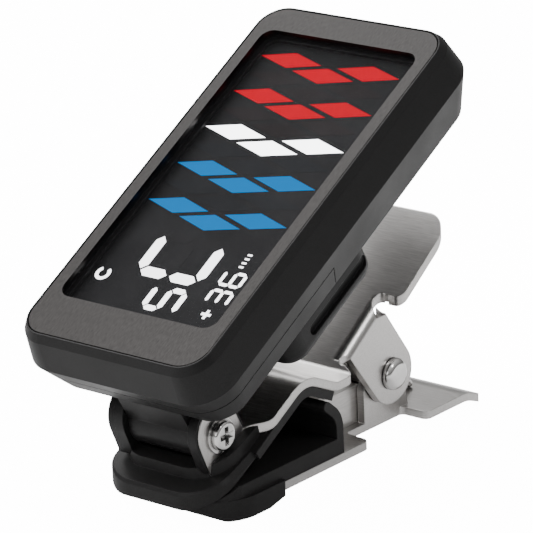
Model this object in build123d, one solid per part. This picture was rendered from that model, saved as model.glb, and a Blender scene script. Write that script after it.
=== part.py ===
from build123d import *
from math import asin, atan2, cos, degrees, hypot, pi, radians, sin, sqrt
import os

# Clip-on tuner, closed on nothing and resting on its lower plate.
# Frame: +X to the hinge screw side, -Y to the nose of the jaws, +Y to the thumb tabs, +Z up.
# The written parts have their origin at the centre of the flat underside of the lower jaw's sleeve.
# The drawings below measure along Y from the pivot pin instead. All lengths are in millimetres.

# ---------------------------------------------------------------- driving dimensions
FIT = 0.05            # running clearance of a bore on its pin, per side
SEAM = 0.12           # open joint line between two shells
SHEET = 1.0           # stainless sheet of both jaws
SLEEVE_FLAT = (-32.6, -26.6)    # the resting face under the nose, along Y

# clip, from the side as (y, z)
PIVOT = (0.0, 7.3)
PIN_R = 1.2
JAW_HALF = 9.0        # half width of the jaws
TAB_HALF = 9.1        # half width of the thumb tabs
TAB_END = 9.0         # where the upper thumb tab ends
TAIL_END = 13.7       # where the lower thumb tab ends
THROUGH = 20.0        # half length of a cut that passes right through
EAR_OUT = 6.5         # outer face of the upper lever's side ears
EAR_IN = 5.3          # outer face of the lower plate's side ears
LEVER_PATH = [(-27.3, 8.17), (-25.9, 8.8), (-18.84, 12.88), (-13.4, 10.3), (-10.15, 10.35), (11.1, 25.42)]
LEVER_BENDS = [2.0, 4.2, 1.6, 1.6]
PLATE_PATH = [(-32.6, 1.5), (11.0, 1.5), (14.0, 0.35)]
PLATE_BENDS = [5.0]

# friction hinge that carries the head
HINGE = (-30.86, 9.56)
HINGE_TILT = 22.6     # slope of the front of the upper jaw, degrees
HINGE_OUT = 6.2       # outer face of the hinge ears
HINGE_EAR_HALF = 3.3
BARREL_R = 3.0
BARREL_HALF = 4.7
NECK_HALF = 2.2       # half thickness of the neck between barrel and housing
LINER = 0.4           # friction liner between barrel and ear
RIM = 0.35            # how far the liner cups and the nut cover stand out round the ear
SCREW_R = 1.0

# head, in its own frame: x across, y up the long side, z out of the display
HEAD_TILT = 29.7
HEAD_CENTRE = (-19.0, 35.08)
FACE_W = 26.0
FACE_L = 53.3
FACE_R = 3.2
FACE_T = 0.5
OPENING_W = 22.7
OPENING_L = 43.9
OPENING_Y = 1.04
# (half width, half length, corner radius, depth) of the housing's outer sections
SHELL = [(13.2, 26.85, 3.4, 0.0), (13.8, 27.45, 4.0, -0.94),
         (14.56, 28.2, 4.8, -4.7), (13.0, 26.1, 3.6, -9.6)]
BACK = SHELL[-1][3]
PARTING = -6.9        # depth of the joint line on the lower half
PARTING_END = -3.9    # where the joint line steps to the back
BOARD_TOP = -4.4
BOARD_T = 0.8
CELL_R = 10.0
CELL_T = 3.2
CELL_Y = -4.5
DOOR_HALF = 11.6
HATCH = (20.4, 20.6)  # battery opening in the back
DOOR_Y = (-13.1, 4.1)
DOOR_DEPTH = 5.6      # how far the battery bulge stands off the back
SCREW_X = 9.6
SCREW_Y = -23.3
BUTTON_Y = (13.5, 3.0)
BUTTON_L = 6.6
BUTTON_H = 2.0
BUTTON_Z = -5.9


# ---------------------------------------------------------------- helpers
def block(x0, x1, y0, y1, z0, z1):
    """A box between two corners."""
    return Pos((x0 + x1) / 2, (y0 + y1) / 2, (z0 + z1) / 2) * Box(x1 - x0, y1 - y0, z1 - z0)


def both_sides(shape):
    """The shape and its mirror image across the centre plane."""
    return shape + mirror(shape, about=Plane.YZ)


def across(face, x0, x1):
    """A face drawn as (y, z) carried across the part from x0 to x1."""
    return Pos(x0, 0, 0) * extrude(Plane.YZ * face, amount=x1 - x0)


def rod(y, z, radius, x0, x1):
    """A round bar along X."""
    return Pos((x0 + x1) / 2, y, z) * (Rot(0, 90, 0) * Cylinder(radius, x1 - x0))


def outline(points, radii=0):
    """A closed flat outline, its corners rounded."""
    if radii == 0:
        return make_face(Polyline(*points, close=True))
    return make_face(FilletPolyline(*points, radius=radii, close=True))


def bent_strip(path, thickness, bends):
    """The outline of a sheet that follows path, with the given mid-line bend radii."""
    half = thickness / 2
    headings = [atan2(b[1] - a[1], b[0] - a[0]) for a, b in zip(path, path[1:])]
    edges = []
    ends = []
    for side in (1, -1):
        points = []
        radii = []
        for index, (y, z) in enumerate(path):
            before = headings[max(index - 1, 0)]
            after = headings[min(index, len(headings) - 1)]
            turn = after - before
            swing = (before + after) / 2 + side * pi / 2
            reach = half / cos(turn / 2)
            points.append((y + reach * cos(swing), z + reach * sin(swing)))
            if 0 < index < len(path) - 1:
                inner = side if turn > 0 else -side
                radii.append(bends[index - 1] - inner * half)
        edges += FilletPolyline(*points, radius=radii).edges()
        ends.append(points)
    edges += Line(ends[0][0], ends[1][0]).edges() + Line(ends[0][-1], ends[1][-1]).edges()
    return make_face(edges)


def tangent_point(point, centre, radius, side):
    """Where a line from point touches a circle, +1 to pass it on the left and -1 on the right."""
    along = (centre[0] - point[0], centre[1] - point[1])
    reach = hypot(*along)
    length = sqrt(reach ** 2 - radius ** 2)
    heading = atan2(along[1], along[0]) + side * asin(radius / reach)
    return (point[0] + length * cos(heading), point[1] + length * sin(heading))


def disc(centre, radius):
    """A flat round face at a (y, z) point."""
    return Pos(*centre) * Circle(radius)


def mirrored_plan(points, radii):
    """A plan outline from its +X half, given from the back to the front."""
    left = [(-x, y) for x, y in reversed(points)]
    return outline(points + left, radii + radii[::-1])


def nose_plan(half, front, back, radius):
    """The plan of a jaw tip: straight sides and a blunt rounded front."""
    return outline([(half, back), (half, front), (-half, front), (-half, back)], [0.4, radius, radius, 0.4])


def on_head(shape):
    """Put a shape drawn in the head's frame where the head rests."""
    return Pos(0, *HEAD_CENTRE) * (Rot(HEAD_TILT, 0, 0) * shape)


def slab(width, length, radius, y, z0, z1):
    """A rounded flat panel in the head's frame."""
    return Pos(0, y, z0) * extrude(RectangleRounded(width, length, radius), amount=z1 - z0)


def loft_sections(sections):
    """A solid through rounded rectangles given as (half width, half length, radius, height)."""
    faces = [Pos(0, 0, z) * RectangleRounded(2 * w, 2 * h, r) for w, h, r, z in sections]
    return loft(faces, ruled=True)


def phillips(depth, size):
    """The four-armed recess of a screw head, sunk below z = 0."""
    arm = loft([Rectangle(size, size * 0.3), Pos(0, 0, -depth) * Rectangle(size * 0.5, size * 0.2)])
    return arm + Rot(0, 0, 90) * arm


def pan_screw(head_r, head_h, shank_r, shank_l):
    """A pan head screw pointing down, its head resting on z = 0."""
    head = Pos(0, 0, head_h / 2) * Cylinder(head_r, head_h)
    head = fillet(head.edges().group_by(Axis.Z)[-1], head_h * 0.55)
    head -= Pos(0, 0, head_h) * phillips(head_h * 0.8, head_r * 1.25)
    return head + Pos(0, 0, -shank_l / 2) * Cylinder(shank_r, shank_l)


# ---------------------------------------------------------------- upper jaw
def hinge_point(along, up):
    """A (y, z) point given along and square to the tilted front of the upper jaw."""
    tilt = radians(HINGE_TILT)
    return (HINGE[0] + along * cos(tilt) - up * sin(tilt),
            HINGE[1] + along * sin(tilt) + up * cos(tilt))


def hinge_ear_face(shrink=0.0):
    """The upright ear that carries the hinge screw: straight sides and a round top."""
    half = HINGE_EAR_HALF - shrink
    low = -3.6
    high = 0.5
    corners = [(-half, low), (half + 0.4, low), (half, high), (-half, high)]
    return outline([hinge_point(*corner) for corner in corners]) + disc(hinge_point(0, high), half)


def side_ear_face():
    """The lever's side ear, narrowing to a round end about the pivot pin."""
    round_r = 3.7
    rear = (-1.7, 16.2)
    front = (-8.0, 11.9)
    rear_touch = tangent_point(rear, PIVOT, round_r, 1)
    front_touch = tangent_point(front, PIVOT, round_r, -1)
    return outline([front, rear, rear_touch, PIVOT, front_touch]) + disc(PIVOT, round_r)


def make_upper_lever():
    sheet = across(bent_strip(LEVER_PATH, SHEET, LEVER_BENDS), -THROUGH, THROUGH)
    plan_points = [(TAB_HALF, TAB_END), (TAB_HALF, -1.0), (EAR_OUT, -1.0), (EAR_OUT, -9.3),
                   (JAW_HALF, -10.3), (JAW_HALF, -25.0), (HINGE_OUT, -26.4), (HINGE_OUT, -28.4)]
    plan = mirrored_plan(plan_points, [3.3, 1.1, 0.5, 0.4, 1.6, 1.4, 1.2, 0])
    lever = sheet & extrude(plan, amount=2 * THROUGH)
    ears = across(side_ear_face(), EAR_OUT - SHEET, EAR_OUT)
    ears += across(hinge_ear_face(), HINGE_OUT - SHEET, HINGE_OUT)
    lever += both_sides(ears)
    reliefs = Pos(EAR_OUT - 0.2, -1.75, 17.4) * Cylinder(0.85, 5)
    reliefs += Pos(EAR_OUT + 0.25, -8.7, 11) * Cylinder(0.85, 8)
    lever -= both_sides(reliefs)
    lever -= both_sides(fold_rounding(1.4))
    lever -= rod(*PIVOT, PIN_R + FIT, -THROUGH, THROUGH)
    lever -= rod(*HINGE, SCREW_R, -THROUGH, THROUGH)
    return lever


def fold_rounding(radius):
    """What the press rounds off where the sloping sheet folds down into its side ear."""
    foot, head = LEVER_PATH[-2:]
    slope = atan2(head[1] - foot[1], head[0] - foot[0])
    start = 1.5
    inset = SHEET / 2 - radius
    y = foot[0] + start * cos(slope) - inset * sin(slope)
    z = foot[1] + start * sin(slope) + inset * cos(slope)
    section = Plane(origin=(EAR_OUT - radius, y, z), x_dir=(1, 0, 0), z_dir=(0, cos(slope), sin(slope)))
    corner = Pos(1, -1) * Rectangle(2, 2) - Circle(radius)
    return extrude(section * corner, amount=9.7)


def make_upper_pad(lever):
    liner_t = 1.1
    drop = (SHEET + liner_t) / 2
    liner_path = [(-27.6, 6.45), (-18.84, 11.62), (-14.0, 9.33)]
    pad = across(bent_strip(liner_path, liner_t, [4.2 - drop]), -JAW_HALF + 0.1, JAW_HALF - 0.1)
    base_side = [(-24.6, 7.9), (-35.4, 1.9), (-36.4, 1.6), (-36.4, 3.5), (-25.4, 7.9)]
    base = across(outline(base_side), -THROUGH, THROUGH)
    base &= extrude(nose_plan(8.6, -36.0, -24.6, 5.2), amount=THROUGH)
    shoulder = [(8.65, -7.7, -12), (8.65, -7.7, -4.3), (7.95, -6.7, -3.4)]
    base &= loft([collar_section(*section) for section in shoulder], ruled=True)
    collar = loft([collar_section(7.85, -4.7, -4.2), collar_section(7.5, -4.1, -2.25)])
    pad += base + collar
    inner = HINGE_OUT - SHEET
    pad -= rod(*HINGE, BARREL_R + 0.25, -inner, inner)
    return pad - lever


def collar_section(half, front, up):
    """A level slice of the raised collar round the hinge ears, in the tilted frame of the hinge."""
    place = Pos(0, *hinge_point(0, up)) * Rot(HINGE_TILT, 0, 0)
    return place * nose_plan(half, front, 5.4, 4.6)


def below_hinge():
    """The space at the feet of the hinge ears, filled by the pad's collar."""
    corners = [(-8, -8), (8, -8), (8, -2.9), (-8, -2.9)]
    return across(outline([hinge_point(*corner) for corner in corners]), -THROUGH, THROUGH)


def make_friction_liners(lever, pad):
    """Two shallow cups, each wrapping the edge of its ear; the one on the nut side is flush."""
    face = hinge_ear_face(-RIM) - disc(HINGE, SCREW_R + FIT)
    inner = HINGE_OUT - SHEET
    cups = across(face, inner - LINER, HINGE_OUT - 0.12) + across(face, -HINGE_OUT, LINER - inner)
    return cups - below_hinge() - lever - pad


def make_nut_cover(lever, pad):
    cover = across(hinge_ear_face(-RIM), -HINGE_OUT - 0.8, -HINGE_OUT - 0.01)
    cover += rod(*HINGE, 2.9, -HINGE_OUT - 1.75, -HINGE_OUT - 0.5)
    cover = fillet(cover.edges().group_by(Axis.X)[0], 0.5)
    return cover - rod(*HINGE, 2.35, -HINGE_OUT - 1.4, -HINGE_OUT) - below_hinge() - lever - pad


def make_hinge_screw():
    head_face = HINGE_OUT + 0.32
    screw = pan_screw(1.75, 0.8, SCREW_R - 0.01, head_face + 7.5)
    return Pos(head_face, *HINGE) * (Rot(0, 90, 0) * screw)


def make_spring_washer():
    ring = rod(*HINGE, 2.15, HINGE_OUT + 0.01, HINGE_OUT + 0.31)
    ring -= rod(*HINGE, SCREW_R + 0.06, -THROUGH, THROUGH)
    y, z = HINGE
    gap = block(HINGE_OUT, HINGE_OUT + 1, y - 0.15, y + 0.15, z - 3, z - 0.5)
    return ring - gap


def make_hinge_nut():
    nut = Rot(0, 90, 0) * extrude(RegularPolygon(2.3, 6), amount=-1.35)
    nut = Pos(-HINGE_OUT - 0.01, *HINGE) * nut
    return nut - rod(*HINGE, SCREW_R, -THROUGH, THROUGH)


# ---------------------------------------------------------------- lower jaw
def lower_ear_face():
    """The lower plate's upright ear, round about the pivot pin."""
    foot = [(-4.0, 1.5), (4.3, 1.5), (3.45, 6.4), (-3.3, 7.6), (-4.0, 6.0)]
    return outline(foot) + disc(PIVOT, 3.4)


def make_lower_plate():
    sheet = across(bent_strip(PLATE_PATH, SHEET, PLATE_BENDS), -THROUGH, THROUGH)
    plan_points = [(TAB_HALF, TAIL_END), (TAB_HALF, 3.0), (EAR_IN, 3.0), (EAR_IN, -7.6),
                   (TAB_HALF, -7.8), (TAB_HALF, -33)]
    plan = mirrored_plan(plan_points, [0.8, 0.9, 0.6, 0.6, 1.1, 3.2])
    plate = sheet & Pos(0, 0, -2) * extrude(plan, amount=THROUGH)
    plate += both_sides(across(lower_ear_face(), EAR_IN - SHEET, EAR_IN))
    return plate - rod(*PIVOT, PIN_R, -THROUGH, THROUGH)


def make_lower_pad(plate):
    top = 4.0
    floor_side = [(-13.2, 2.0), (-33.4, 2.0), (-33.4, 2.5), (-31.1, top), (-13.2, top)]
    pad = across(outline(floor_side), -JAW_HALF, JAW_HALF)
    wall_path = [(-13.1, 2.0), (-13.1, 6.6), (-15.2, 8.4)]
    wall_t = 1.2
    pad += across(bent_strip(wall_path, wall_t, [3.0]), -JAW_HALF, JAW_HALF)
    pad += rod(*wall_path[-1], wall_t / 2, -JAW_HALF, JAW_HALF)
    front, back = SLEEVE_FLAT
    heel = -23.6
    nose = -34.0
    sleeve_top = 2.45
    sleeve_side = [(heel, 0.65), (back, 0.0), (front, 0.0), (nose, 0.9), (nose, 1.9),
                   (nose + 0.5, sleeve_top), (heel, sleeve_top)]
    sleeve = across(outline(sleeve_side, [0, 0, 1.2, 0.3, 0.2, 0, 0]), -THROUGH, THROUGH)
    sleeve &= extrude(nose_plan(9.55, nose, heel, 5.0), amount=THROUGH)
    pad &= extrude(nose_plan(9.05, nose + 0.5, -12.0, 3.4), amount=THROUGH)
    return pad + sleeve - plate


def make_stop_bracket():
    wall = 0.8
    outer = 4.2
    front = -12.3
    mid = outer - wall / 2
    path = [(-mid, -3.6), (-mid, front + wall / 2), (mid, front + wall / 2), (mid, -3.6)]
    return Pos(0, 0, 2.01) * extrude(bent_strip(path, wall, [1.0, 1.0]), amount=4.6)


def make_pivot_pin():
    head_r = 1.95
    pin = rod(*PIVOT, PIN_R, -EAR_OUT - 0.5, EAR_OUT + 0.5)
    cap = Pos(0, 0, 0.5) * Cylinder(head_r, 1.0)
    cap = fillet(cap.edges().group_by(Axis.Z)[-1], 0.85)
    cap = Pos(EAR_OUT + 0.1, *PIVOT) * (Rot(0, 90, 0) * cap)
    return pin + both_sides(cap)


def make_spring_bush():
    return rod(*PIVOT, 1.9, -4.1, 4.1) - rod(*PIVOT, PIN_R + FIT, -THROUGH, THROUGH)


def make_torsion_spring():
    wire_r = 0.45
    coil_r = 2.6
    pitch = 1.02
    upper_foot = (2.9, 17.75)
    lower_foot = (8.6, 2.48)
    start = tangent_point(upper_foot, PIVOT, coil_r, 1)
    finish = tangent_point(lower_foot, PIVOT, coil_r, -1)
    start_angle = degrees(atan2(start[1] - PIVOT[1], start[0] - PIVOT[0]))
    finish_angle = degrees(atan2(finish[1] - PIVOT[1], finish[0] - PIVOT[0]))
    turns = 4 + ((finish_angle - start_angle) % 360) / 360
    length = turns * pitch
    path = Helix(pitch=pitch, height=length, radius=coil_r)
    coil = sweep(Plane(origin=path @ 0, z_dir=path % 0) * Circle(wire_r), path=path)
    # the helix axis is turned onto X, so that its start angle is measured from +Y
    coil = Pos(-length / 2, *PIVOT) * (Rot(start_angle, 0, 0) * (Plane.YZ.location * coil))
    upper_leg = leg(-length / 2, start, upper_foot, wire_r)
    return coil + upper_leg + leg(length / 2, finish, lower_foot, wire_r)


def leg(x, root, foot, wire_r):
    """One straight leg of the spring in the plane x, with rounded ends."""
    reach = hypot(foot[0] - root[0], foot[1] - root[1])
    heading = degrees(atan2(foot[1] - root[1], foot[0] - root[0]))
    bar = Rot(0, 90, 0) * (Pos(0, 0, reach / 2) * Cylinder(wire_r, reach))
    bar = Pos(x, *root) * (Rot(heading, 0, 0) * (Rot(0, 0, 90) * bar))
    return bar + Pos(x, *root) * Sphere(wire_r) + Pos(x, *foot) * Sphere(wire_r)


# ---------------------------------------------------------------- head
def cavity():
    """The space inside the housing."""
    return loft_sections([(12.0, 25.0, 2.4, BACK + 1.0), (13.3, 26.9, 3.6, -4.7), (12.9, 26.4, 3.0, -1.85)])


def lower_half(grow):
    """Everything behind the joint line on the lower half of the housing."""
    return block(-THROUGH, THROUGH, -2 * THROUGH, PARTING_END - grow, -2 * THROUGH, PARTING - grow)


def back_panel(grow):
    """The inset panel that closes the upper half of the back."""
    return slab(2 * (12.1 + grow), 28.8 + grow, 2.5, 10.1 + grow / 2, BACK - 1, BACK + 1.0 + grow)


def make_face_plate():
    plate = slab(FACE_W, FACE_L, FACE_R, 0, -FACE_T, 0)
    plate = chamfer(plate.edges().group_by(Axis.Z)[-1], 0.12)
    return plate - slab(OPENING_W, OPENING_L, 1.6, OPENING_Y, -1, 1)


def make_front_case():
    shell = loft_sections(SHELL) - cavity()
    shell -= slab(FACE_W + 0.1, FACE_L + 0.1, FACE_R + 0.05, 0, -FACE_T - 0.01, 1)
    shell -= slab(OPENING_W + 0.9, OPENING_L + 0.9, 2.0, OPENING_Y, -1.42, 1)
    shell -= slab(OPENING_W - 0.4, OPENING_L - 0.4, 1.4, OPENING_Y, -3, 1)
    shell -= lower_half(0) + back_panel(SEAM)
    hole_l = BUTTON_L / 2 + 0.15
    hole_h = BUTTON_H / 2 + 0.15
    for y in BUTTON_Y:
        shell -= block(-16, -11, y - hole_l, y + hole_l, BUTTON_Z - hole_h, BUTTON_Z + hole_h)
    for x in (-SCREW_X, SCREW_X):
        post = Pos(x, SCREW_Y, -5.0) * Cylinder(1.5, 6.8) - Pos(x, SCREW_Y, -6.0) * Cylinder(0.7, 6.0)
        shell += post
    return shell


def make_display_window():
    return slab(OPENING_W + 0.8, OPENING_L + 0.8, 1.9, OPENING_Y, -1.4, -0.75)


def make_lcd_panel():
    return slab(22.6, 43.8, 0.6, OPENING_Y - 0.1, -3.08, -1.9)


def make_backlight():
    return slab(22.4, 41.6, 0.6, OPENING_Y + 0.9, -4.15, -3.1)


def make_lcd_connector():
    return slab(20.0, 1.5, 0.3, -20.0, BOARD_TOP + 0.02, -3.1)


def make_circuit_board():
    return slab(24.4, 44.0, 0.8, 0.8, BOARD_TOP - BOARD_T, BOARD_TOP)


def make_main_chip():
    z = BOARD_TOP - BOARD_T
    chip = slab(6.5, 6.5, 0.3, 15.5, z - 0.9, z - 0.01)
    return Pos(3.0, 0, 0) * chip


def make_tact_switches():
    z = BOARD_TOP - BOARD_T
    switches = Part()
    for y in BUTTON_Y:
        switches += block(-12.0, -9.4, y - 2.0, y + 2.0, z - 1.5, z - 0.01)
        switches += block(-12.2, -11.9, y - 0.6, y + 0.6, z - 1.1, z - 0.4)
    return switches


def make_button(y):
    half_l = BUTTON_L / 2
    half_h = BUTTON_H / 2
    cap = block(-14.75, -12.9, y - half_l, y + half_l, BUTTON_Z - half_h, BUTTON_Z + half_h)
    cap = fillet(cap.edges().group_by(Axis.X)[0], 0.35)
    return cap + block(-12.98, -12.6, y - 2.6, y + 2.6, BUTTON_Z - 0.8, BUTTON_Z + 0.8)


def make_battery_cell():
    top = -5.36
    cell = Pos(0, CELL_Y, top - 0.15) * Cylinder(CELL_R - 1.2, 0.3)
    cell += Pos(0, CELL_Y, top - 0.3 - (CELL_T - 0.3) / 2) * Cylinder(CELL_R, CELL_T - 0.3)
    return cell


def make_battery_contact_negative():
    z = BOARD_TOP - BOARD_T
    return block(-2.0, 2.0, CELL_Y - 5, CELL_Y + 5, z - 0.14, z - 0.01)


def make_battery_contact_positive():
    z = BOARD_TOP - BOARD_T
    rim = CELL_Y + CELL_R
    clip = block(-3.5, 3.5, rim + 0.1, rim + 0.4, -8.5, z - 0.02)
    return clip + block(-3.5, 3.5, rim + 0.1, rim + 2.2, z - 0.32, z - 0.02)


def make_piezo_sensor():
    return Pos(0, -20.4, -8.3) * Cylinder(4.2, 0.5)


def door_plan(grow):
    """The rounded plan of the battery bulge."""
    length = DOOR_Y[1] - DOOR_Y[0] + 2 * grow
    return Pos(0, sum(DOOR_Y) / 2) * RectangleRounded(2 * (DOOR_HALF + grow), length, 2.6 + grow)


def make_battery_door():
    low = BACK - DOOR_DEPTH
    bulge = Pos(0, 0, low) * extrude(door_plan(0), amount=DOOR_DEPTH - 0.02)
    bulge = fillet(bulge.edges().group_by(Axis.Z)[0], 1.6)
    plug = slab(HATCH[0] - 0.2, HATCH[1] - 0.2, 2.0, CELL_Y, BACK - 0.5, BACK + 0.7)
    plug -= block(-THROUGH, THROUGH, DOOR_Y[1], THROUGH, -THROUGH, BACK)
    plug -= block(-THROUGH, THROUGH, -THROUGH, DOOR_Y[0], -THROUGH, BACK)
    groove = Pos(-3.15, BACK - 3.1) * SlotOverall(12.1, 1.5)
    groove = across(groove, DOOR_HALF - 0.6, DOOR_HALF + 1)
    well = Pos(0, 0, low + 1.2) * extrude(door_plan(-2.2), amount=DOOR_DEPTH + 1)
    return bulge + plug - well - both_sides(groove)


def make_rear_cover():
    outer = loft_sections(SHELL)
    cover = (outer - cavity()) & lower_half(SEAM)
    cover += back_panel(0) & outer & block(-THROUGH, THROUGH, -8, 2 * THROUGH, BACK, BACK + 1.0)
    cover -= slab(*HATCH, 2.1, CELL_Y, BACK - 1, 0)
    y, z = barrel_place()
    neck = block(-BARREL_HALF, BARREL_HALF, y - NECK_HALF, y + NECK_HALF, z, BACK + 0.4)
    barrel = rod(y, z, BARREL_R, -BARREL_HALF, BARREL_HALF)
    cover += neck + barrel
    cover -= rod(y, z, SCREW_R + FIT, -THROUGH, THROUGH)
    for x in (-SCREW_X, SCREW_X):
        cover += Pos(x, SCREW_Y, BACK + 0.7) * Cylinder(1.85, 1.0)
        cover -= Pos(x, SCREW_Y, BACK) * Cylinder(1.45, 1.6) + Pos(x, SCREW_Y, BACK) * Cylinder(0.85, 6)
    return cover


def barrel_place():
    """The hinge axis as (y, z) in the head's frame."""
    dy = HINGE[0] - HEAD_CENTRE[0]
    dz = HINGE[1] - HEAD_CENTRE[1]
    tilt = radians(HEAD_TILT)
    return (dy * cos(tilt) + dz * sin(tilt), dz * cos(tilt) - dy * sin(tilt))


def make_case_screws():
    screws = Part()
    for x in (-SCREW_X, SCREW_X):
        screw = Rot(180, 0, 0) * pan_screw(1.35, 0.7, 0.68, 5.0)
        screws += Pos(x, SCREW_Y, BACK + 0.79) * screw
    return screws


# ---------------------------------------------------------------- build and write
def main():
    os.makedirs("parts", exist_ok=True)
    lever = make_upper_lever()
    upper_pad = make_upper_pad(lever)
    plate = make_lower_plate()
    clip_parts = {
        "upper_lever": lever,
        "upper_pad": upper_pad,
        "friction_liners": make_friction_liners(lever, upper_pad),
        "hinge_screw": make_hinge_screw(),
        "hinge_spring_washer": make_spring_washer(),
        "hinge_nut": make_hinge_nut(),
        "nut_cover": make_nut_cover(lever, upper_pad),
        "lower_plate": plate,
        "lower_pad": make_lower_pad(plate),
        "stop_bracket": make_stop_bracket(),
        "pivot_pin": make_pivot_pin(),
        "spring_bush": make_spring_bush(),
        "torsion_spring": make_torsion_spring(),
    }
    head_parts = {
        "front_case": make_front_case(),
        "rear_cover": make_rear_cover(),
        "face_plate": make_face_plate(),
        "display_window": make_display_window(),
        "lcd_panel": make_lcd_panel(),
        "backlight": make_backlight(),
        "lcd_connector": make_lcd_connector(),
        "circuit_board": make_circuit_board(),
        "main_chip": make_main_chip(),
        "tact_switches": make_tact_switches(),
        "power_button": make_button(BUTTON_Y[0]),
        "mode_button": make_button(BUTTON_Y[1]),
        "battery_cell": make_battery_cell(),
        "battery_contact_negative": make_battery_contact_negative(),
        "battery_contact_positive": make_battery_contact_positive(),
        "piezo_sensor": make_piezo_sensor(),
        "battery_door": make_battery_door(),
        "case_screws": make_case_screws(),
    }
    to_origin = Pos(0, -sum(SLEEVE_FLAT) / 2, 0)
    for name, shape in clip_parts.items():
        export_step(to_origin * shape, f"parts/{name}.step")
    for name, shape in head_parts.items():
        export_step(to_origin * on_head(shape), f"parts/{name}.step")


main()
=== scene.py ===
import bmesh
import bpy
from math import cos, radians, sin
from mathutils import Matrix, Vector


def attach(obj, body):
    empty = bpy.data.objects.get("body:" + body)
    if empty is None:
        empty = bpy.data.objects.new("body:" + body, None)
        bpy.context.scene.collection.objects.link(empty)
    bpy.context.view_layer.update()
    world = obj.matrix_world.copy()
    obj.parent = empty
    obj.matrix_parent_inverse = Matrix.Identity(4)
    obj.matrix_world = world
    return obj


# Clip-on tuner. Metres, in the row frame: +X to the hinge screw, -Y to the nose of the jaws, +Z up.
MM = 0.001

# the head's own frame: x across, y up its long side, z out of the display
HEAD_TILT = radians(29.7)
HEAD_CENTRE = Vector((0.0, 10.6, 35.08))
LCD_FACE = -1.9

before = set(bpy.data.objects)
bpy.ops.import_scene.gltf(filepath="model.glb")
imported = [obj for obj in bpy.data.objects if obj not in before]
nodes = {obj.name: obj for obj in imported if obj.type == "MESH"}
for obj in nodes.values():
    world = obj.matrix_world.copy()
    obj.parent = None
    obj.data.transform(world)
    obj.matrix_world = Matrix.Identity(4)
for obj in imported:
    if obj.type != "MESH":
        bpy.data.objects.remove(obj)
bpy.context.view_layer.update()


# ---------------------------------------------------------------- materials
class Look:
    """A node material built step by step round one Principled shader."""

    def __init__(self, name):
        self.mat = bpy.data.materials.new(name)
        self.mat.use_nodes = True
        self.tree = self.mat.node_tree
        self.tree.nodes.clear()
        self.out = self.tree.nodes.new("ShaderNodeOutputMaterial")
        self.bsdf = self.tree.nodes.new("ShaderNodeBsdfPrincipled")
        self.tree.links.new(self.bsdf.outputs[0], self.out.inputs["Surface"])
        self.coords = self.tree.nodes.new("ShaderNodeTexCoord").outputs["Object"]

    def set(self, **values):
        for key, value in values.items():
            self.bsdf.inputs[key.replace("_", " ")].default_value = value
        return self

    def node(self, kind, inputs=None, **attributes):
        made = self.tree.nodes.new(kind)
        for key, value in attributes.items():
            setattr(made, key, value)
        for key, value in (inputs or {}).items():
            if isinstance(value, bpy.types.NodeSocket):
                self.tree.links.new(value, made.inputs[key])
            else:
                made.inputs[key].default_value = value
        return made

    def turned(self, angles=(0, 0, 0), scale=(1, 1, 1)):
        """Object coordinates turned and then stretched."""
        spun = self.node("ShaderNodeMapping", {"Vector": self.coords, "Rotation": angles})
        return self.node("ShaderNodeMapping", {"Vector": spun.outputs[0], "Scale": scale}).outputs[0]

    def noise(self, vector, scale, detail=3.0, roughness=0.5):
        made = self.node("ShaderNodeTexNoise", {"Vector": vector, "Scale": scale, "Detail": detail,
                                                "Roughness": roughness})
        return made.outputs["Fac"]

    def remap(self, value, low, high, start=0.0, end=1.0):
        made = self.node("ShaderNodeMapRange", {"Value": value, "From Min": start, "From Max": end,
                                                "To Min": low, "To Max": high})
        return made.outputs["Result"]

    def mix(self, factor, dark, light):
        made = self.node("ShaderNodeMix", data_type="RGBA")
        self.feed(made.inputs["Factor"], factor)
        self.feed(made.inputs["A"], dark, colour=True)
        self.feed(made.inputs["B"], light, colour=True)
        return made.outputs["Result"]

    def feed(self, socket, value, colour=False):
        if isinstance(value, bpy.types.NodeSocket):
            self.tree.links.new(value, socket)
        else:
            socket.default_value = (*value, 1.0) if colour else value

    def drive(self, **sources):
        for key, source in sources.items():
            self.tree.links.new(source, self.bsdf.inputs[key.replace("_", " ")])
        return self

    def relief(self, height, strength, distance, edge=0.0):
        """Bump from a height, over normals that round sharp edges by edge metres."""
        bump = self.node("ShaderNodeBump", {"Height": height, "Strength": strength, "Distance": distance})
        if edge:
            soft = self.node("ShaderNodeBevel", {"Radius": edge}, samples=4)
            self.tree.links.new(soft.outputs[0], bump.inputs["Normal"])
        self.tree.links.new(bump.outputs[0], self.bsdf.inputs["Normal"])
        return self


def moulded(name, colour, rough, grain=0.25, edge=0.00012, speck=1.0):
    """Satin moulded plastic with a spark-eroded grain and faint handling marks."""
    look = Look(name)
    fine = look.noise(look.coords, 9000.0, 2.0)
    broad = look.noise(look.coords, 160.0, 4.0)
    lighter = tuple(min(1.0, c * (1.0 + 0.35 * speck) + 0.002) for c in colour)
    look.drive(Base_Color=look.mix(look.remap(fine, 0.0, 1.0, 0.35, 0.7), colour, lighter))
    look.drive(Roughness=look.remap(broad, rough - 0.05, rough + 0.06, 0.3, 0.7))
    return look.set(Specular_IOR_Level=0.2).relief(fine, grain, 0.00002, edge)


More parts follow.
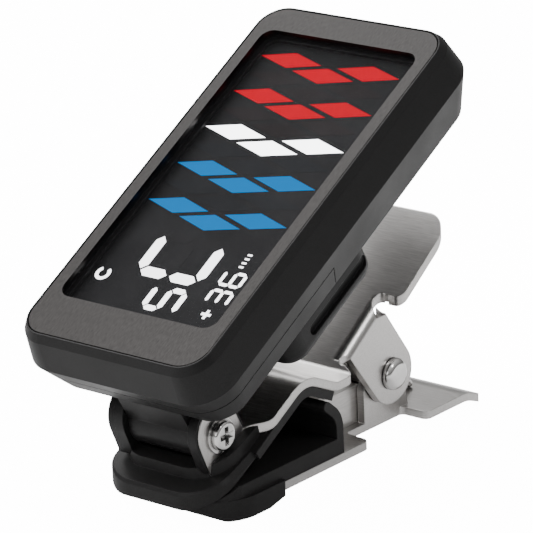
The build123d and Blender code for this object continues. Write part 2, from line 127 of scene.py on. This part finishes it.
def brushed(name, colour, rough, angles, stretch, depth=0.12, edge=0.00012, tint=0.12):
    """Sheet metal brushed along the axis where stretch is smallest."""
    look = Look(name)
    along = look.turned(angles, stretch)
    streaks = look.noise(along, 1.0, 5.0, 0.65)
    blotch = look.noise(look.coords, 140.0, 3.0)
    dark = tuple(c * (1.0 - tint) for c in colour)
    light = tuple(min(1.0, c * (1.0 + tint)) for c in colour)
    look.drive(Base_Color=look.mix(look.remap(streaks, 0.0, 1.0, 0.3, 0.7), dark, light))
    both = look.node("ShaderNodeMath", {0: streaks, 1: blotch}, operation="ADD").outputs[0]
    look.drive(Roughness=look.remap(both, rough - 0.015, rough + 0.025, 0.7, 1.3))
    return look.set(Metallic=1.0).relief(streaks, depth, 0.00003, edge)


def polished(name, colour, rough, edge=0.0001):
    """Bright plated metal with slight waviness, hairline marks and painted shade that darkens its recesses.
    """
    look = Look(name)
    wave = look.noise(look.coords, 420.0, 3.0)
    marks = look.noise(look.turned((0.4, 0.2, 0.7), (300, 9000, 2500)), 1.0, 3.0)
    shade = tuple(c * 0.8 for c in colour)
    clean = look.mix(look.remap(wave, 0.0, 1.0, 0.3, 0.7), shade, colour)
    # painted shade: ambient occlusion darkens the base colour in recesses and crevices, where shade falls
    open_sky = look.node("ShaderNodeAmbientOcclusion", {"Distance": 0.0007}, samples=6).outputs["AO"]
    recess_shade_mask = look.remap(open_sky, 0.0, 1.0, 0.35, 0.85)
    look.drive(Base_Color=look.mix(recess_shade_mask, tuple(c * 0.12 for c in colour), clean))
    look.drive(Roughness=look.remap(marks, rough * 0.8, rough * 1.4, 0.3, 0.7))
    return look.set(Metallic=1.0).relief(wave, 0.03, 0.00001, edge)


def printed(name, colour, glow):
    """A lit display segment: a flat colour with the faint weave of the liquid crystal cell."""
    look = Look(name)
    weave = look.noise(look.turned((HEAD_TILT, 0, 0), (5200, 5200, 5200)), 1.0, 1.0)
    spread = look.remap(weave, 0.0, 1.0, 0.3, 0.7)
    look.drive(Emission_Color=look.mix(spread, tuple(c * 0.95 for c in colour), colour))
    look.drive(Base_Color=look.mix(spread, tuple(c * 0.08 for c in colour), tuple(c * 0.1 for c in colour)))
    return look.set(Roughness=0.5, Emission_Strength=glow, Specular_IOR_Level=0.0)


def smoked_glass():
    """A thin, faintly hazy acrylic sheet: it passes light straight on and mirrors by angle."""
    look = Look("window_acrylic")
    clear = look.node("ShaderNodeBsdfTransparent", {"Color": (0.93, 0.93, 0.94, 1.0)})
    mirror = look.node("ShaderNodeBsdfGlossy", {"Roughness": 0.05, "Color": (0.012, 0.012, 0.0125, 1.0)})
    angle = look.node("ShaderNodeFresnel", {"IOR": 1.4}).outputs[0]
    inside = look.node("ShaderNodeNewGeometry").outputs["Backfacing"]
    outside = look.node("ShaderNodeMath", {0: 1.0, 1: inside}, operation="SUBTRACT").outputs[0]
    share = look.node("ShaderNodeMath", {0: angle, 1: outside}, operation="MULTIPLY").outputs[0]
    veil = look.node("ShaderNodeBsdfDiffuse", {"Color": (0.9, 0.9, 0.93, 1.0)})
    hazy = look.node("ShaderNodeMixShader", {0: 0.003, 1: clear.outputs[0], 2: veil.outputs[0]})
    both = look.node("ShaderNodeMixShader", {0: share, 1: hazy.outputs[0], 2: mirror.outputs[0]})
    look.tree.links.new(both.outputs[0], look.out.inputs["Surface"])
    look.tree.nodes.remove(look.bsdf)
    return look


STEEL = (0.55, 0.537, 0.526)
SLOPE = (-HEAD_TILT, 0, 0)
# noise scales for brushing along X, along Y, and up the long side of the sloping face
ALONG_X = (500, 8000, 8000)
ALONG_Y = (8000, 500, 8000)
UP_FACE = (7000, 1400, 5000)
looks = {
    "case": moulded("case_plastic", (0.0082, 0.0079, 0.0081), 0.38),
    "door": moulded("door_plastic", (0.0085, 0.0083, 0.0085), 0.36, 0.2),
    "button": moulded("button_plastic", (0.011, 0.011, 0.0115), 0.5),
    "rubber": moulded("pad_rubber", (0.0105, 0.0101, 0.0102), 0.46, 0.3, 0.00015),
    "liner": moulded("liner_nylon", (0.0088, 0.0086, 0.0088), 0.42, 0.15),
    "bush": moulded("bush_nylon", (0.62, 0.61, 0.57), 0.45, 0.2, 0.0001, 0.1),
    "steel": brushed("brushed_sheet", STEEL, 0.29, (0, 0, 0), ALONG_X, 0.002, 0.0002, 0.16),
    "bracket": brushed("bracket_sheet", STEEL, 0.29, (0, 0, 0), ALONG_Y, 0.002, 0.0001, 0.12),
    "face": brushed("face_sheet", (0.031, 0.0295, 0.029), 0.38, SLOPE, UP_FACE, 0.2, 0.0, 0.3),
    "plated": polished("bright_plating", (0.8, 0.79, 0.78), 0.14),
    "blackened": polished("blackened_screw", (0.035, 0.035, 0.037), 0.3),
    "wire": polished("spring_wire", (0.55, 0.54, 0.53), 0.22, 0.0),
    "brass": polished("brass_disc", (0.78, 0.57, 0.27), 0.25),
    "lcd": moulded("lcd_cell", (0.0042, 0.0042, 0.0044), 0.7, 0.0, 0.0, 0.02),
    "guide": moulded("light_guide", (0.82, 0.83, 0.84), 0.35, 0.05, 0.0, 0.05),
    "board": moulded("solder_mask", (0.006, 0.09, 0.035), 0.3, 0.1, 0.0, 0.4),
    "chip": moulded("chip_epoxy", (0.015, 0.015, 0.015), 0.5),
    "window": smoked_glass(),
}
dress = {
    "case": ["front_case", "rear_cover"],
    "door": ["battery_door"],
    "button": ["power_button", "mode_button"],
    "rubber": ["upper_pad", "lower_pad", "lcd_connector"],
    "liner": ["friction_liners", "nut_cover"],
    "bush": ["spring_bush"],
    "steel": ["upper_lever", "lower_plate"],
    "bracket": ["stop_bracket"],
    "face": ["face_plate"],
    "plated": ["pivot_pin", "hinge_screw", "hinge_spring_washer", "hinge_nut", "battery_cell",
               "tact_switches"],
    "blackened": ["case_screws"],
    "wire": ["torsion_spring", "battery_contact_negative", "battery_contact_positive"],
    "brass": ["piezo_sensor"],
    "lcd": ["lcd_panel"],
    "guide": ["backlight"],
    "board": ["circuit_board"],
    "chip": ["main_chip"],
    "window": ["display_window"],
}
for key, names in dress.items():
    for name in names:
        piece = nodes[name]
        piece.data.materials.clear()
        piece.data.materials.append(looks[key].mat)


# ---------------------------------------------------------------- flat pieces on the head
def on_head(x, y, z):
    """A point of the head's frame in millimetres, as a row frame point in metres."""
    turned = Vector((x, y * cos(HEAD_TILT) - z * sin(HEAD_TILT), y * sin(HEAD_TILT) + z * cos(HEAD_TILT)))
    return (turned + HEAD_CENTRE) * MM


def sheet_piece(name, outlines, z0, z1, look, slot):
    """Thin raised outlines on a plane of the head, as one object that rides on the head."""
    mesh = bmesh.new()
    for points in outlines:
        low = [mesh.verts.new(on_head(x, y, z0)) for x, y in points]
        high = [mesh.verts.new(on_head(x, y, z1)) for x, y in points]
        mesh.faces.new(low[::-1])
        mesh.faces.new(high)
        for i in range(len(points)):
            j = (i + 1) % len(points)
            mesh.faces.new((low[i], low[j], high[j], high[i]))
    bmesh.ops.recalc_face_normals(mesh, faces=mesh.faces)
    data = bpy.data.meshes.new(name)
    mesh.to_mesh(data)
    obj = bpy.data.objects.new(name, data)
    bpy.context.scene.collection.objects.link(obj)
    data.materials.append(look.mat)
    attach(obj, "head")


# the meter: five chevrons of three lozenges, and unlit ones between them
ROW_PITCH = 6.04
TOP_ROW = 20.42
LOZENGE = (4.47, 1.24)
CHEVRON = [(-6.65, 0.0), (-0.95, -1.52), (4.74, 0.0)]


def lozenge(x, y):
    w, h = LOZENGE
    return [(x - w, y), (x, y - h), (x + w, y), (x, y + h)]


def chevron(row):
    return [lozenge(x, TOP_ROW - row * ROW_PITCH + y) for x, y in CHEVRON]


RED = (0.95, 0.0, 0.022)
BLUE = (0.0, 0.31, 0.86)
WHITE = (1.0, 1.0, 1.0)
# each colour's shade, glow and rows, counted from the top
lit = {"red": (RED, 0.98, [0, 1]), "white": (WHITE, 8.0, [2]), "blue": (BLUE, 0.85, [3, 4])}
# bottom and top height of the lit shapes, and of the unlit ones under them
INK = (LCD_FACE + 0.002, LCD_FACE + 0.03)
GHOST_INK = (LCD_FACE + 0.002, LCD_FACE + 0.015)
DISPLAY_TOP = 22.9


def unlit(name, shade):
    """The faint tone of a display shape that is off."""
    return moulded(name, shade, 0.7, 0.0, 0.0, 0.2)


for colour, (shade, glow, rows) in lit.items():
    shapes = [p for row in rows for p in chevron(row)]
    sheet_piece(f"meter_{colour}", shapes, *INK, printed(f"segment_{colour}", shade, glow), "lcd_glass")
faint = {
    "warm": ((0.0075, 0.0040, 0.0038), [-0.5, 0.5, 1.5]),
    "cool": ((0.0036, 0.0048, 0.0060), [2.5, 3.5]),
}
for colour, (shade, rows) in faint.items():
    shapes = [p for row in rows for p in chevron(row) if max(q[1] for q in p) < DISPLAY_TOP]
    sheet_piece(f"meter_unlit_{colour}", shapes, *GHOST_INK, unlit(f"unlit_{colour}", shade), "lcd_glass")


# ---------------------------------------------------------------- the readout, read up the long side
SEGMENT_GAP = 0.16


def bar(a0, b0, a1, b1, half, point):
    """A segment from (a0, b0) to (a1, b1) with pointed ends, half wide each side."""
    start = Vector((a0, b0))
    end = Vector((a1, b1))
    along = (end - start).normalized()
    side = Vector((-along.y, along.x)) * half
    tip = along * point
    return [start, start + tip + side, end - tip + side, end, end - tip - side, start + tip - side]


def glyph(left, top, width, height, stroke, segments):
    """Seven-segment bars. a runs along the reading direction and b towards the glyph's foot."""
    h = stroke / 2
    gap = stroke * SEGMENT_GAP
    a0 = left + h
    a1 = left + width - h
    b0 = top + h
    b1 = top + height / 2
    b2 = top + height - h
    spans = {
        "top": (a0 + gap, b0, a1 - gap, b0), "middle": (a0 + gap, b1, a1 - gap, b1),
        "bottom": (a0 + gap, b2, a1 - gap, b2), "upper_left": (a0, b0 + gap, a0, b1 - gap),
        "lower_left": (a0, b1 + gap, a0, b2 - gap), "upper_right": (a1, b0 + gap, a1, b1 - gap),
        "lower_right": (a1, b1 + gap, a1, b2 - gap)}
    shapes = []
    for name in segments:
        shape = bar(*spans[name], h, h)
        shapes.append([(p.y, p.x) for p in shape])
    return shapes


# left, top, width, height and stroke of each figure, in the readout's own directions
NOTE = (-14.45, -5.95, 6.9, 9.9, 1.4)
OCTAVE = (-18.9, -1.65, 3.8, 5.05, 0.75)
TENS = (-16.15, 5.8, 2.2, 3.25, 0.42)
ONES = (-13.45, 5.8, 2.3, 3.25, 0.42)
# the row of short marks after the offset
TICKS = 4
FIRST_TICK = -10.5
TICK_PITCH = 0.62
TICK_WIDTH = 0.24


def lit_readout():
    """Note, octave, offset and a few plain marks, all set sideways under the meter."""
    note = glyph(*NOTE, ["top", "upper_left", "lower_left", "bottom"])
    octave = glyph(*OCTAVE, ["top", "upper_left", "middle", "lower_right", "bottom"])
    tens = glyph(*TENS, ["top", "upper_right", "middle", "lower_right", "bottom"])
    ones = glyph(*ONES, ["top", "upper_left", "middle", "lower_right", "bottom", "lower_left"])
    cross_bar = [(7.22, -18.35), (7.58, -18.35), (7.58, -17.05), (7.22, -17.05)]
    cross_arm = [(6.75, -17.88), (8.05, -17.88), (8.05, -17.52), (6.75, -17.52)]
    ticks = []
    for k in range(TICKS):
        y = FIRST_TICK + k * TICK_PITCH
        ticks.append([(7.0, y), (7.6, y), (7.6, y + TICK_WIDTH), (7.0, y + TICK_WIDTH)])
    return note + octave + tens + ones + [cross_bar, cross_arm] + ticks


def unlit_readout():
    """The bars of three figures that are off."""
    note = glyph(*NOTE, ["middle", "upper_right", "lower_right"])
    octave = glyph(*OCTAVE, ["upper_right", "lower_left"])
    tens = glyph(*TENS, ["upper_left", "lower_left"])
    return note + octave + tens


def ring(x, y, outer, inner, start, sweep, steps=28):
    """A flat open ring, as a chain of four-sided outlines."""
    out = []
    back = []
    for k in range(steps + 1):
        angle = start + sweep * k / steps
        out.append((x + outer * cos(angle), y + outer * sin(angle)))
        back.append((x + inner * cos(angle), y + inner * sin(angle)))
    return [[out[k], out[k + 1], back[k + 1], back[k]] for k in range(steps)]


white_ink = printed("segment_readout", WHITE, 5.0)
sheet_piece("readout", lit_readout(), *INK, white_ink, "lcd_glass")
grey = unlit("unlit_grey", (0.0058, 0.0056, 0.0056))
sheet_piece("readout_unlit", unlit_readout(), *GHOST_INK, grey, "lcd_glass")
open_ring = ring(-9.5, -15.35, 1.0, 0.56, radians(125), radians(290))
sheet_piece("mode_mark", open_ring, *INK, white_ink, "lcd_glass")


# ---------------------------------------------------------------- floor, light and camera
def plane(name, size, place, look):
    """A square sheet facing up."""
    half = size / 2
    corners = [(-half, -half, 0), (half, -half, 0), (half, half, 0), (-half, half, 0)]
    data = bpy.data.meshes.new(name)
    data.from_pydata([Vector(c) + Vector(place) for c in corners], [], [(0, 1, 2, 3)])
    obj = bpy.data.objects.new(name, data)
    bpy.context.scene.collection.objects.link(obj)
    data.materials.append(look.mat)
    return obj


# the pool of light on the floor fades out between its core and its reach, in metres
POOL_CENTRE = (0.035, 0.075, 0.0)
POOL_GLOW = 0.4
POOL_CORE = 0.04
POOL_REACH = 0.11
BACKDROP_GLOW = 14.0


def pale_floor():
    """A white table with a pool of light behind the object, seen by the camera as white as the studio."""
    look = moulded("pale_floor", (0.72, 0.72, 0.72), 0.6, 0.02, 0.0, 0.0)
    from_pool = {0: look.coords, 1: POOL_CENTRE}
    away = look.node("ShaderNodeVectorMath", from_pool, operation="DISTANCE").outputs["Value"]
    look.drive(Emission_Strength=look.remap(away, POOL_GLOW, 0.0, POOL_CORE, POOL_REACH))
    look.set(Emission_Color=(1, 1, 1, 1))
    glow = look.node("ShaderNodeEmission", {"Color": (1, 1, 1, 1), "Strength": BACKDROP_GLOW})
    seen = look.node("ShaderNodeLightPath").outputs["Is Camera Ray"]
    both = look.node("ShaderNodeAddShader", {0: look.bsdf.outputs[0], 1: glow.outputs[0]})
    pick = look.node("ShaderNodeMixShader", {0: seen, 1: look.bsdf.outputs[0], 2: both.outputs[0]})
    look.tree.links.new(pick.outputs[0], look.out.inputs["Surface"])
    return look


FLOOR_SIZE = 8.0
FLOOR_DROP = (0, 0, -0.0002)
plane("floor", FLOOR_SIZE, FLOOR_DROP, pale_floor())


def soft_light(name, place, target, size, power):
    """A rectangular lamp at place, facing target."""
    data = bpy.data.lights.new(name, "AREA")
    data.shape = "RECTANGLE"
    data.size = size[0]
    data.size_y = size[1]
    data.energy = power
    obj = bpy.data.objects.new(name, data)
    bpy.context.scene.collection.objects.link(obj)
    obj.location = place
    obj.rotation_euler = (Vector(target) - Vector(place)).to_track_quat("-Z", "Y").to_euler()


CENTRE = (0.0, 0.013, 0.024)
soft_light("key", (-0.30, -0.20, 0.55), CENTRE, (0.45, 0.45), 4.6)
soft_light("back", (-0.34, 0.26, 0.43), CENTRE, (0.3, 0.3), 1.35)
soft_light("fold", (0.36, 0.01, 0.42), CENTRE, (0.08, 0.16), 0.5)
soft_light("low_front", (0.15, -0.60, 0.22), CENTRE, (0.3, 0.2), 0.4)

# the studio round the object: bright overhead, dim at the horizon
HORIZON = 0.10
ZENITH = 0.85
world = bpy.data.worlds.new("studio")
bpy.context.scene.world = world
world.use_nodes = True
sky = world.node_tree
direction = sky.nodes.new("ShaderNodeTexCoord")
height = sky.nodes.new("ShaderNodeSeparateXYZ")
ramp = sky.nodes.new("ShaderNodeMapRange")
sky.links.new(direction.outputs["Generated"], height.inputs[0])
sky.links.new(height.outputs["Z"], ramp.inputs["Value"])
for key, value in {"From Min": 0.0, "From Max": 1.0, "To Min": HORIZON, "To Max": ZENITH}.items():
    ramp.inputs[key].default_value = value
sky.links.new(ramp.outputs["Result"], sky.nodes["Background"].inputs["Strength"])
sky.nodes["Background"].inputs["Color"].default_value = (1.0, 0.99, 0.98, 1.0)

# the camera looks at AIM from azimuth AZ (0 from -Y, 90 from +X) and elevation EL, rolled a little
AIM = Vector((0.69, 14.57, 23.77)) * MM
AZ = radians(40.498)
EL = radians(18.427)
ROLL = radians(2.623)
DISTANCE = 430.0 * MM
LENS = 254.74
SENSOR = 36.0
camera_data = bpy.data.cameras.new("camera")
camera_data.lens = LENS
camera_data.sensor_width = SENSOR
camera_data.clip_end = 20.0
camera = bpy.data.objects.new("camera", camera_data)
bpy.context.scene.collection.objects.link(camera)
back = Vector((sin(AZ) * cos(EL), -cos(AZ) * cos(EL), sin(EL)))
facing = (-back).to_track_quat("-Z", "Y").to_matrix().to_4x4()
camera.matrix_world = Matrix.Translation(AIM + back * DISTANCE) @ facing @ Matrix.Rotation(-ROLL, 4, "Z")
bpy.context.scene.camera = camera
